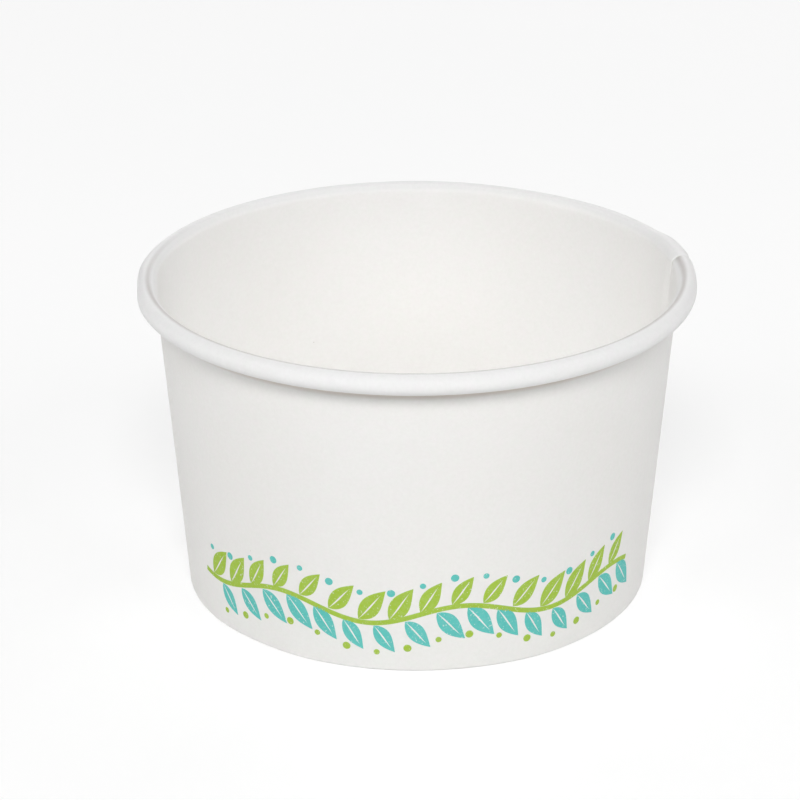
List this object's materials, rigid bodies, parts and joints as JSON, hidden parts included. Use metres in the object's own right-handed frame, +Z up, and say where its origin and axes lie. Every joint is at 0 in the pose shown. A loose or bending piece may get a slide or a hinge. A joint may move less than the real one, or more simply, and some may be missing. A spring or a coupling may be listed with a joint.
{
  "type": "paper ice cream cup",
  "caption": "Open tapered paper cup with a rolled rim, a lapped side seam and a base set up into the foot, for a portion of ice cream or another dessert.",
  "frame": {"origin": "centre of the cup's bottom ring, on the surface that it stands on", "axes": "+Z up along the cup's axis, from the foot to the rim; the side seam's inner edge lies 9 degrees from +X towards +Y"},
  "size_m": [0.0951, 0.095, 0.0559],
  "materials": {
    "wall_board": "matt white coated paperboard with a faint sheen on the rolled rim",
    "disc_board": "matt off-white coated paperboard"
  },
  "bodies": {
    "root": {"sidewall": "wall_board", "base_disc": "disc_board"}
  },
  "joints": []
}
